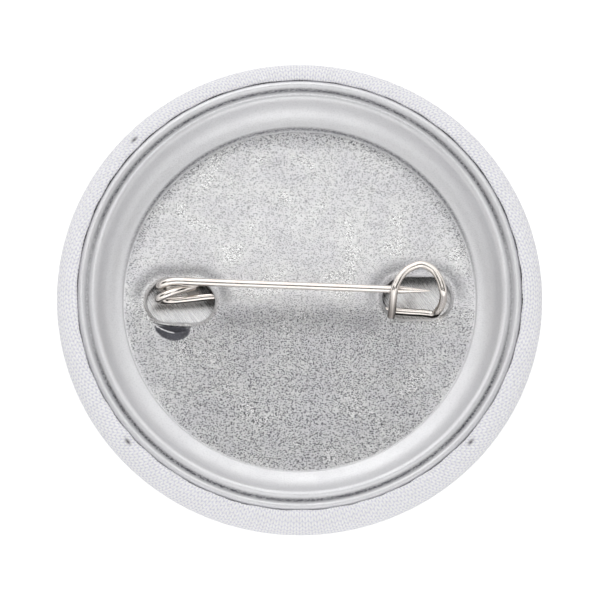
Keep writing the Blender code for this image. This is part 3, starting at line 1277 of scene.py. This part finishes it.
@dataclass
class BackPlate:
    """Pressed plate: rolled bead, groove, shoulder, sloping ring and a pebbled disc."""

    finish: PlateFinish
    underside: DullFinish
    thickness: float = 0.25 * MM
    disc_radius: float = 20.2 * MM
    step_rise: float = 0.3 * MM
    shoulder: Point2 = (23.8 * MM, 6.95 * MM)
    groove: Point2 = (24.45 * MM, 6.5 * MM)
    bead: Point2 = (25.05 * MM, 6.9 * MM)
    skirt: Point2 = (25.58 * MM, 5.3 * MM)
    left_slot: Slot = Slot((-13.65 * MM, -0.05 * MM))
    right_slot: Slot = Slot((13.48 * MM, 0.43 * MM))
    lance: Lance = Lance()
    count: int = 360
    grid_step: float = 0.3 * MM
    slot_step: float = 0.16 * MM
    rim_band: float = 0.2 * MM
    lip_margin: float = 0.15 * MM
    crease: float = 0.09 * MM
    least_grain: float = 0.55
    fold_rows: Point2 = (-1.6 * MM, 0.2 * MM)
    fold_ends: Point2 = (8.5 * MM, 10.5 * MM)
    # painted shade: the groove's crease, and the upper side of the shoulder and of the disc's edge
    groove_shade: ShadeBand = ShadeBand(-0.03 * MM, 0.21 * MM, 1.15)
    shoulder_shade: ShadeBand = ShadeBand(0.1 * MM, 0.3 * MM, 0.33)
    step_shade: ShadeBand = ShadeBand(0.26 * MM, 0.2 * MM, 0.95)
    # painted shade on the disc: a band along the fold, and all of the disc below it a little darker
    fold_shade: ShadeBand = ShadeBand(-2.3 * MM, 1.2 * MM, 0.32)
    lower_shade: float = 0.13
    # strength of the painted shade above each slot
    halo_shade: float = 0.72
    # strength of the painted shade on the blister's raised side
    blister_shade: float = 1.8

    def rim_outline(self) -> list[Point2]:
        """Upper outline from the disc's edge to the foot of the skirt.

        Returns:
            Radius and height of each point.
        """
        edge = (self.disc_radius, DISC_TOP)
        foot = (self.disc_radius + 0.3 * MM, DISC_TOP + self.step_rise)
        shoulder_height = self.shoulder[1]
        skirt_top = (self.skirt[0], 6.35 * MM)
        rise = (22.75 * MM, shoulder_height)
        bead_side = (25.32 * MM, self.bead[1])
        outline = [edge]
        outline += wave(edge, foot, 7)
        outline += bezier(foot, (23.3 * MM, 4.5 * MM), rise, self.shoulder, 26)
        outline += wave(self.shoulder, self.groove, 8)
        outline += wave(self.groove, self.bead, 8)
        outline += bezier(self.bead, bead_side, (self.skirt[0], 6.68 * MM), skirt_top, 7)
        outline.append(self.skirt)
        return outline

    def disc_places(self) -> tuple[np.ndarray, list[tuple[int, int]]]:
        """Places spread over the disc, closer near its slots and lance.

        Returns:
            The places, and the pairs that must be joined by an edge. The first ones are the rim's.
        """
        edges = [circle(radius, 0.0, self.count)[:, :2] for radius in self.edge_radii()]
        groups, pairs, start = edges, closed_pairs(0, self.count), 2 * self.count
        for slot in self.slots():
            for level, away in enumerate(np.linspace(0.0, slot.lip + self.lip_margin, 7)):
                ring = slot.ring(away, self.slot_step)
                if level == 0:
                    pairs += closed_pairs(start, len(ring))
                groups.append(ring)
                start += len(ring)
        hole = self.lance.loop()
        pairs += closed_pairs(start, len(hole))
        groups += [hole, self.lance_places(), self.spread(self.grid_step)]
        return np.concatenate(groups), pairs

    def slots(self) -> tuple[Slot, Slot]:
        """Both slots."""
        return self.left_slot, self.right_slot

    def edge_radii(self) -> tuple[float, float]:
        """Radii of the disc's edge and of the ring of places just inside it."""
        return self.disc_radius, self.disc_radius - self.rim_band

    def spread(self, step: float) -> np.ndarray:
        """A triangular grid over the plain part of the disc.

        Args:
            step: distance between its places.

        Returns:
            The places.
        """
        reach = int(self.disc_radius / step) + 2
        rows, columns = np.mgrid[-reach : reach + 1, -reach : reach + 1]
        across = (columns + 0.5 * (rows % 2)).ravel()
        grid = np.stack([across, rows.ravel() * math.sqrt(0.75)], axis=1) * step
        clear = np.hypot(grid[:, 0], grid[:, 1]) < self.edge_radii()[1] - 0.6 * step
        for slot in self.slots():
            clear &= slot.distance(grid) > slot.lip + self.lip_margin + 0.5 * step
        return grid[clear & ~self.lance.near(grid)]

    def lance_places(self) -> np.ndarray:
        """A finer grid round the crescent, off its edges and off the slot's lip.

        Returns:
            The places.
        """
        step = self.lance.zone_step
        counts = (np.array(self.lance.zone_size) / step).astype(int)
        rows, columns = np.mgrid[0 : counts[1], 0 : counts[0]]
        shifted = columns.ravel() + 0.5 * (rows.ravel() % 2)
        grid = self.lance.zone_low + np.stack([shifted, rows.ravel()], axis=1) * step
        keep = self.lance.near(grid) & ~self.lance.inside(grid)
        keep &= self.left_slot.distance(grid) > self.left_slot.lip + 0.22 * MM
        hole = self.lance.loop()
        nearest = np.min(np.linalg.norm(grid[keep][:, None] - hole[None], axis=2), axis=1)
        return grid[keep][nearest > 0.045 * MM]

    def disc_height(self, points: np.ndarray) -> np.ndarray:
        """Height of the disc's upper side.

        Args:
            points: places on the disc.

        Returns:
            Heights.
        """
        radius = np.hypot(*points.T)
        inner = 1.0 - smoothstep(0.75 * self.disc_radius, 0.97 * self.disc_radius, radius)
        fold = np.sqrt((points[:, 1] + 1.4 * MM) ** 2 + (0.5 * MM) ** 2) / self.disc_radius
        height = DISC_TOP - self.crease * (1.0 - fold) * inner
        for slot in self.slots():
            height = height - slot.drop(points)
        return height + self.lance.lift(points)

    def build(self, groups: Groups) -> bpy.types.Object:
        """Make the plate as one sheet of even thickness.

        Args:
            groups: the shared shader groups.

        Returns:
            The plate.
        """
        places, pairs = self.disc_places()
        found = delaunay_2d_cdt([Vector(p / MM) for p in places], pairs, [], 0, 1e-4)
        flat = np.array([tuple(p) for p in found[0]]) * MM
        triangles = np.array(found[2])
        middles = flat[triangles].mean(axis=1)
        keep = ~self.lance.inside(middles)
        for slot in self.slots():
            keep &= slot.distance(middles) > 0.0
        disc = np.column_stack([flat, self.disc_height(flat)])
        surface = Rings()
        for radius, height in self.rim_outline():
            surface.add(circle(radius, height, self.count))
        rim_points, rim_faces = surface.mesh_data()
        points, faces = self.joined(rim_points, rim_faces, disc, triangles[keep])
        plate = new_piece("pressed_back_plate", points, faces, self.finish.make(groups))
        self.store_finish_places(plate, points)
        plate.data.materials.append(self.underside.make(groups))
        solid = plate.modifiers.new("sheet", "SOLIDIFY")
        solid.thickness = self.thickness
        solid.offset = -1.0
        solid.material_offset = 1
        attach(plate, Body.BADGE.value)
        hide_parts("back_plate")
        return plate

    def joined(
        self, rim: np.ndarray, rim_faces: list, disc: np.ndarray, triangles: np.ndarray
    ) -> tuple[np.ndarray, list]:
        """Join the disc to the rim where their edge points meet.

        Args:
            rim: points of the rim, its first ring on the disc's edge.
            rim_faces: faces of the rim.
            disc: points of the disc.
            triangles: corner numbers of the disc's faces.

        Returns:
            All points and faces.
        """
        used = np.unique(triangles)
        number = np.full(len(disc), -1)
        number[used] = len(rim) + np.arange(len(used))
        on_edge = np.hypot(disc[:, 0], disc[:, 1]) > self.disc_radius - 0.01 * MM
        angle = np.arctan2(disc[on_edge, 1], disc[on_edge, 0])
        number[on_edge] = np.round(angle / (2.0 * np.pi) * self.count).astype(int) % self.count
        points = np.concatenate([rim, disc[used]])
        return points, [*rim_faces, *map(tuple, number[triangles].tolist())]

    def store_finish_places(self, plate: bpy.types.Object, points: np.ndarray) -> None:
        """Keep on the mesh where pebbles and painted shade lie and how the turned lines run.

        Args:
            plate: the plate.
            points: its corners.
        """
        flat = points[:, :2]
        radius = np.hypot(*flat.T)
        grain = 1.0 - smoothstep(self.disc_radius - 0.15 * MM, self.disc_radius + 0.1 * MM, radius)
        for slot in self.slots():
            grain *= smoothstep(0.08 * MM, 0.5 * MM, slot.distance(flat))
        grain *= 1.0 - smoothstep(0.02 * MM, 0.2 * MM, self.lance.lift(flat))
        store_numbers(plate, "grain", grain * self.grain_strength(flat, radius))
        # painted shade, stored for the finish to darken the metal
        store_numbers(plate, "painted_shade", self.painted_shade(flat, radius))
        store_places(plate, "turned", np.column_stack([radius, 0.04 * flat]))

    def grain_strength(self, flat: np.ndarray, radius: np.ndarray) -> np.ndarray:
        """How strong the pebbles are: strong below the fold, less so at its sides, and at the top edge.

        Args:
            flat: places on the plate.
            radius: their distances from the axis.

        Returns:
            Strengths up to 1.
        """
        below = 1.0 - smoothstep(*self.fold_rows, flat[:, 1])
        aside = smoothstep(11.0 * MM, 16.0 * MM, np.abs(flat[:, 0]))
        edge = smoothstep(self.disc_radius - 1.4 * MM, self.disc_radius, radius)
        edge *= smoothstep(-0.2, 0.5, flat[:, 1] / np.maximum(radius, MM))
        strong = np.maximum(below * (1.0 - 0.35 * aside), edge)
        return self.least_grain + (1.0 - self.least_grain) * strong

    def painted_shade(self, flat: np.ndarray, radius: np.ndarray) -> np.ndarray:
        """Where shade is painted: groove, upper shoulder and disc's edge, fold and below, round the
        slots, blister.

        Args:
            flat: places on the plate.
            radius: their distances from the axis.

        Returns:
            Strengths from 0; at 1 and above the painted shade hides the metal.
        """
        sine = flat[:, 1] / np.maximum(radius, MM)
        # painted shade in the groove, and on the upper side only for the shoulder and the disc's edge
        groove = self.groove_shade.at(radius - self.groove[0])
        shoulder = self.shoulder_shade.at(radius - self.shoulder[0])
        step = self.step_shade.at(radius - self.disc_radius)
        found = groove * (0.5 + 0.5 * smoothstep(0.1, 0.5, np.abs(sine)))
        found = np.maximum(found, shoulder * smoothstep(0.3, 0.9, sine))
        found = np.maximum(found, step * smoothstep(-0.1, 0.7, sine))
        # painted shade: darker along the fold and below it
        below = 1.0 - smoothstep(*self.fold_rows, flat[:, 1])
        on_disc = 1.0 - smoothstep(self.disc_radius - 0.6 * MM, self.disc_radius, radius)
        fold = self.fold_shade.at(flat[:, 1]) * (1.0 - smoothstep(*self.fold_ends, np.abs(flat[:, 0])))
        found = np.maximum(found, on_disc * (self.lower_shade * below + fold))
        # painted shade round the slots
        for slot in self.slots():
            found = slot.add_shade(flat, found, self.halo_shade)
        # painted shade on the blister's raised side
        return np.maximum(found, self.blister_shade * self.lance.blister(flat))


# ---------------------------------------------------------------- pin wire


def smooth_route(points: np.ndarray, steps: int) -> np.ndarray:
    """Points on a smooth curve that passes through every given point.

    Args:
        points: the given points.
        steps: how many points follow each given one.

    Returns:
        The points on the curve.
    """
    ends = np.concatenate([[2 * points[0] - points[1]], points, [2 * points[-1] - points[-2]]])
    found = [points[0]]
    for before, first, second, after in zip(ends, ends[1:], ends[2:], ends[3:]):
        for t in np.linspace(0.0, 1.0, steps + 1)[1:]:
            bend = 2 * before - 5 * first + 4 * second - after
            twist = 3 * first - before - 3 * second + after
            found.append(0.5 * (2 * first + (second - before) * t + bend * t**2 + twist * t**3))
    return np.array(found)


@dataclass
class PinWire:
    """One wire bent into a base run, a catch loop, a coil and a needle.

    The points of its route are in millimetres, with heights from the top of the disc.
    """

    finish: WireFinish
    radius: float = 0.45 * MM
    sides: int = 28
    base: tuple[Point3, ...] = (
        (-12.0, 0.56, -1.0), (-9.9, 0.76, -1.0), (-7.5, 0.66, -1.0), (0.0, 0.0, -1.0),
        (11.2, -0.98, -1.0), (14.3, -1.2, -1.0),
    )
    catch: tuple[Point3, ...] = (
        (15.48, -1.36, -0.9), (16.0, -1.05, -0.12), (16.36, -0.71, 0.77), (16.55, -0.13, 1.75),
        (16.52, 0.44, 2.49), (16.29, 1.33, 2.67), (15.94, 2.16, 2.75), (15.4, 2.91, 2.82),
        (14.63, 3.41, 2.86), (13.88, 3.57, 2.87), (12.99, 3.28, 2.85), (12.28, 2.86, 2.82),
        (11.55, 2.08, 2.75), (11.13, 1.29, 2.68), (10.89, 0.65, 2.59), (10.78, -0.19, 1.98),
        (10.7, -0.89, 1.42), (10.62, -1.59, 0.87), (10.53, -2.07, 0.5),
    )
    coil: tuple[Point3, ...] = (
        (-14.0, 0.33, -1.0), (-15.3, 0.22, -0.85), (-16.1, 0.17, -0.3), (-16.15, 0.25, 0.25),
        (-15.5, 0.5, 0.68), (-14.5, 0.88, 0.72), (-13.4, 1.3, 0.4), (-12.4, 1.7, -0.25),
        (-11.75, 2.05, -0.9), (-11.5, 2.3, -1.35), (-11.9, 2.35, -1.68), (-13.0, 2.2, -1.7),
        (-14.6, 1.95, -1.4), (-15.7, 1.7, -0.75),
    )
    needle: tuple[Point3, ...] = (
        (-16.1, 1.6, 0.1), (-15.9, 1.68, 0.75), (-15.3, 1.88, 1.12), (-14.2, 2.03, 1.2),
        (-12.0, 1.94, 1.21),
    )
    tip: Point3 = (15.0, 0.82, 1.35)
    taper_start: float = 11.8 * MM
    tip_radius: float = 0.063 * MM
    route_steps: int = 9
    needle_steps: int = 80

    def centre_line(self) -> tuple[np.ndarray, int, int]:
        """Centre line of the whole wire, from the catch's cut end to the needle's point.

        Returns:
            Its points, and the numbers of the coil's first point and the needle's.
        """
        given = [*reversed(self.catch), *reversed(self.base), *self.coil, *self.needle]
        bent = smooth_route(np.array(given) * MM, self.route_steps)
        tip = np.array(self.tip) * MM
        shares = 1.0 - (1.0 - np.linspace(0.0, 1.0, self.needle_steps)[1:]) ** 1.6
        straight = bent[-1] + shares[:, None] * (tip - bent[-1])
        coil_start = (len(self.catch) + len(self.base)) * self.route_steps
        needle_start = coil_start + len(self.coil) * self.route_steps
        return np.concatenate([bent, straight]) + (0.0, 0.0, DISC_TOP), coil_start, needle_start

    def radii(self, route: np.ndarray, needle_start: int) -> np.ndarray:
        """Radius of the wire at each point of its route.

        Args:
            route: centre line of the whole wire.
            needle_start: number of the needle's first point.

        Returns:
            The radii.
        """
        tip = self.tip[0] * MM
        share = np.clip((route[:, 0] - self.taper_start) / (tip - self.taper_start), 0.0, 1.0)
        taper = self.radius + (self.tip_radius - self.radius) * share**1.15
        return np.where(np.arange(len(route)) >= needle_start, taper, self.radius)

    def sections(self, route: np.ndarray, radii: np.ndarray) -> tuple[np.ndarray, np.ndarray]:
        """Rings of points round the route, turned as little as possible from one to the next.

        Args:
            route: centre line.
            radii: radius at each of its points.

        Returns:
            The rings, and the distance along and round the wire at each of their points.
        """
        along = unit_rows(np.gradient(route, axis=0))
        side = np.cross(along[0], (0.0, 0.0, 1.0))
        turn = np.linspace(0.0, 2.0 * np.pi, self.sides, endpoint=False)
        rings, marks = [], []
        for centre, ahead, radius, distance in zip(route, along, radii, travelled(route)):
            side = side - ahead * (side @ ahead)
            side /= np.linalg.norm(side)
            up = np.cross(side, ahead)
            rings.append(centre + radius * (np.cos(turn)[:, None] * side + np.sin(turn)[:, None] * up))
            run = np.full(self.sides, distance)
            marks.append(np.column_stack([run, self.radius * turn, 0.0 * turn]))
        return np.array(rings), np.array(marks)

    def tube(
        self, name: str, rings: np.ndarray, marks: np.ndarray, material: bpy.types.Material
    ) -> bpy.types.Object:
        """Close a run of rings into a tube with flat ends.

        Args:
            name: the piece's name.
            rings: its rings.
            marks: distances along and round the wire at their points.
            material: its finish.

        Returns:
            The piece.
        """
        surface = Rings()
        surface.add(rings[0].mean(axis=0)[None])
        for ring in rings:
            surface.add(ring)
        surface.add(rings[-1].mean(axis=0)[None])
        piece = new_piece(name, *surface.mesh_data(), material)
        last = len(piece.data.vertices) - 1
        ends = np.zeros(last + 1, int)
        ends[1 : self.sides + 1] = 1
        ends[last - self.sides : last] = 2
        edges = np.array([edge.vertices[:] for edge in piece.data.edges])
        sharp = (ends[edges[:, 0]] > 0) & (ends[edges[:, 0]] == ends[edges[:, 1]])
        piece.data.attributes.new("sharp_edge", "BOOLEAN", "EDGE").data.foreach_set("value", sharp)
        store_places(piece, "along", np.concatenate([marks[0][:1], *marks, marks[-1][:1]]))
        return piece

    def build(self, groups: Groups) -> list[bpy.types.Object]:
        """Make the wire as three runs that meet ring to ring.

        Args:
            groups: the shared shader groups.

        Returns:
            The base run with its catch, the coil and the needle.
        """
        route, coil_start, needle_start = self.centre_line()
        rings, marks = self.sections(route, self.radii(route, needle_start))
        material = self.finish.make(groups)
        runs = {
            "pin_base_wire": slice(0, coil_start + 1),
            "pin_coil_wire": slice(coil_start, needle_start + 1),
            "pin_needle_wire": slice(needle_start, None),
        }
        base_wire, coil_wire, needle_wire = (
            self.tube(name, rings[part], marks[part], material) for name, part in runs.items()
        )
        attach(base_wire, Body.BADGE.value)
        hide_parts("pin_base")
        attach(coil_wire, Body.BADGE.value)
        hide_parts("pin_coil")
        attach(needle_wire, Body.NEEDLE.value)
        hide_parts("pin_needle")
        return [base_wire, coil_wire, needle_wire]


# ---------------------------------------------------------------- studio


@dataclass(frozen=True)
class Softbox:
    """A square light aimed at the badge."""

    name: str
    place: Point3
    side: float
    power: float
    tint: Colour = (1.0, 1.0, 1.0)

    def build(self) -> None:
        """Add the light."""
        light = bpy.data.lights.new(self.name, "AREA")
        light.size = self.side
        light.energy = self.power
        light.color = self.tint
        holder = bpy.data.objects.new(self.name, light)
        holder.location = self.place
        holder.rotation_euler = facing(self.place)
        bpy.context.scene.collection.objects.link(holder)


@dataclass(frozen=True)
class Card:
    """A flat card that the bright metal mirrors, aimed at the badge."""

    name: str
    place: Point3
    size: Point2
    grey: float

    def build(self) -> None:
        """Hang the card."""
        sheet = Sheet(self.name)
        warm_grey = (self.grey, 0.85 * self.grey, 0.7 * self.grey, 1.0)
        sheet.set(Base_Color=warm_grey, Roughness=1.0, Specular_IOR_Level=0.0)
        card = rectangle(self.name, *self.size, sheet.material)
        card.location = self.place
        card.rotation_euler = facing(self.place)
        card.visible_camera = False


@dataclass
class Studio:
    """Pale floor, soft light, dark cards that the metal mirrors, and the camera."""

    target: Point3 = (0.05 * MM, -0.04 * MM, 4.3 * MM)
    elevation: float = math.radians(75.0)
    distance: float = 1.6
    lens: float = 834.0
    sensor: float = 36.0
    floor_side: float = 1.6
    floor_grey: Colour = (0.80, 0.80, 0.80)
    floor_lift: float = 0.6
    surround: Colour = (1.0, 1.0, 1.0)
    horizon_strength: float = 0.94
    zenith_strength: float = 1.31
    lights: tuple[Softbox, ...] = (
        Softbox("back_softbox", (-0.15, 0.5, 0.42), 0.36, 0.5),
        Softbox("front_softbox", (0.1, -0.6, 0.24), 0.4, 0.25),
    )
    cards: tuple[Card, ...] = (
        Card("lens_card", (0.0, -0.466, 1.739), (0.95, 0.95), 0.02),
        Card("left_card", (-0.48, 0.0, 0.52), (0.6, 0.48), 0.02),
        Card("right_card", (0.48, 0.0, 0.52), (0.6, 0.48), 0.02),
    )

    def build(self) -> None:
        """Set up floor, light and camera."""
        self.build_floor()
        self.build_world()
        for card in self.cards:
            card.build()
        for light in self.lights:
            light.build()
        self.build_camera()
        bpy.context.scene.view_settings.view_transform = "Standard"

    def direction(self) -> Vector:
        """Direction from the badge to the camera."""
        return Vector((0.0, -math.cos(self.elevation), math.sin(self.elevation)))

    def build_floor(self) -> None:
        """Lay a plain pale floor under the badge."""
        sheet = Sheet("pale_floor")
        sheet.set(Base_Color=(*self.floor_grey, 1.0), Roughness=1.0, Specular_IOR_Level=0.0)
        sheet.set(Emission_Strength=self.floor_lift)
        sheet.feed("Emission Color", sheet.node("LightPath").outputs["Is Camera Ray"])
        rectangle("studio_floor", self.floor_side, self.floor_side, sheet.material)

    def build_world(self) -> None:
        """Surround everything with soft light that fades towards the horizon."""
        world = bpy.data.worlds.new("studio_surround")
        world.use_nodes = True
        tree = world.node_tree
        split = add_node(tree, "SeparateXYZ")
        tree.links.new(add_node(tree, "TexCoord").outputs["Generated"], split.inputs[0])
        fade = add_node(tree, "MapRange", interpolation_type="SMOOTHSTEP")
        tree.links.new(split.outputs["Z"], fade.inputs["Value"])
        fade.inputs["From Min"].default_value = 0.0
        fade.inputs["From Max"].default_value = 0.75
        fade.inputs["To Min"].default_value = self.horizon_strength
        fade.inputs["To Max"].default_value = self.zenith_strength
        background = tree.nodes["Background"]
        background.inputs["Color"].default_value = (*self.surround, 1.0)
        tree.links.new(fade.outputs["Result"], background.inputs["Strength"])
        bpy.context.scene.world = world

    def build_camera(self) -> None:
        """Look at the badge from the front and well above."""
        camera = bpy.data.cameras.new("studio_camera")
        camera.lens = self.lens
        camera.sensor_width = self.sensor
        camera.clip_start = 0.01
        holder = bpy.data.objects.new("studio_camera", camera)
        holder.location = Vector(self.target) + self.direction() * self.distance
        holder.rotation_euler = facing(self.direction())
        bpy.context.scene.collection.objects.link(holder)
        bpy.context.scene.camera = holder


def main() -> None:
    """Build each sub-assembly of the badge in order, then the studio."""
    logging.basicConfig(level=logging.INFO, format="%(message)s")
    groups = Groups.build()
    outline = CoverOutline(radius=CAD_HIGH[0])
    report(FrontShell(outline, ShellFinish()).build(groups))
    report(KnitCover(outline, KnitFinish()).build(groups))
    report(BackPlate(PlateFinish(), DullFinish()).build(groups))
    for piece in PinWire(WireFinish()).build(groups):
        report(piece)
    Studio().build()


if __name__ == "__main__":
    main()
